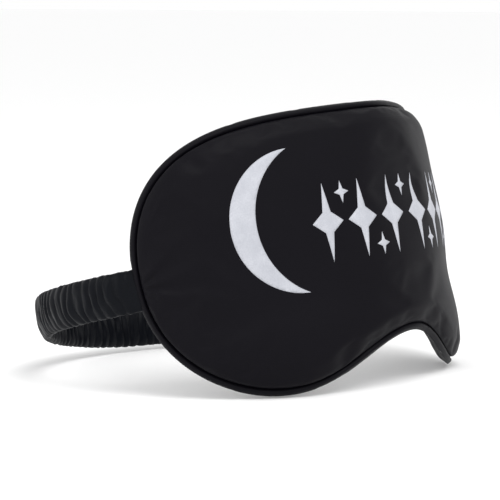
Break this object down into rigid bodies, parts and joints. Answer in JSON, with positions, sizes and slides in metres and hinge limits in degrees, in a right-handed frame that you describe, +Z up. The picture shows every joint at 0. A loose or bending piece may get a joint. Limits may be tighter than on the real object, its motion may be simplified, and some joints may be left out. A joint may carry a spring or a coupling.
{
  "type": "sleep eye mask",
  "caption": "Padded satin sleep mask with a cut-out for the nose and a gathered elastic head strap, standing on its lower edge and strap.",
  "frame": {"origin": "under the middle of the whole object, on the surface that it stands on", "axes": "+X towards the wearer's left, -Y the way the front panel faces, +Z up; the object is symmetric about X = 0 apart from its print"},
  "size_m": [0.1768, 0.155, 0.1014],
  "materials": {
    "front_satin": "black satin weave with a soft sheen",
    "rear_satin": "black satin weave, slightly duller",
    "strap_satin": "black satin, gathered",
    "seam_thread": "black polyester thread",
    "print_ink": "pale silver-grey screen print",
    "fibre_fill": "white polyester wadding",
    "blackout_cloth": "close-woven opaque lining",
    "elastic_band": "woven flat elastic"
  },
  "bodies": {
    "mask": {"front_cover": "front_satin", "front_padding": "fibre_fill", "blackout_layer": "blackout_cloth", "rear_padding": "fibre_fill", "rear_cover": "rear_satin", "perimeter_stitching": "seam_thread", "print_film": "print_ink", "elastic_end_left": "elastic_band", "elastic_end_right": "elastic_band", "bar_tack_left": "seam_thread", "bar_tack_right": "seam_thread"},
    "strap": {"strap_sleeve_left": "strap_satin", "strap_sleeve_right": "strap_satin", "elastic_left": "elastic_band", "elastic_right": "elastic_band"},
    "strap_rear": {"strap_sleeve_rear": "strap_satin", "elastic_rear": "elastic_band"}
  },
  "joints": [
    {"name": "strap_swing", "type": "hinge", "parent": "mask", "child": "strap", "pos_m": [0, -0.00901, 0.03592], "axis": [1, 0, 0], "range_deg": [0, 60], "stiffness_Nm_per_rad": 0.06},
    {"name": "strap_stretch", "type": "slide", "parent": "strap", "child": "strap_rear", "axis": [0, 0.9478, -0.319], "range_m": [0, 0.04], "stiffness_N_per_m": 40}
  ]
}
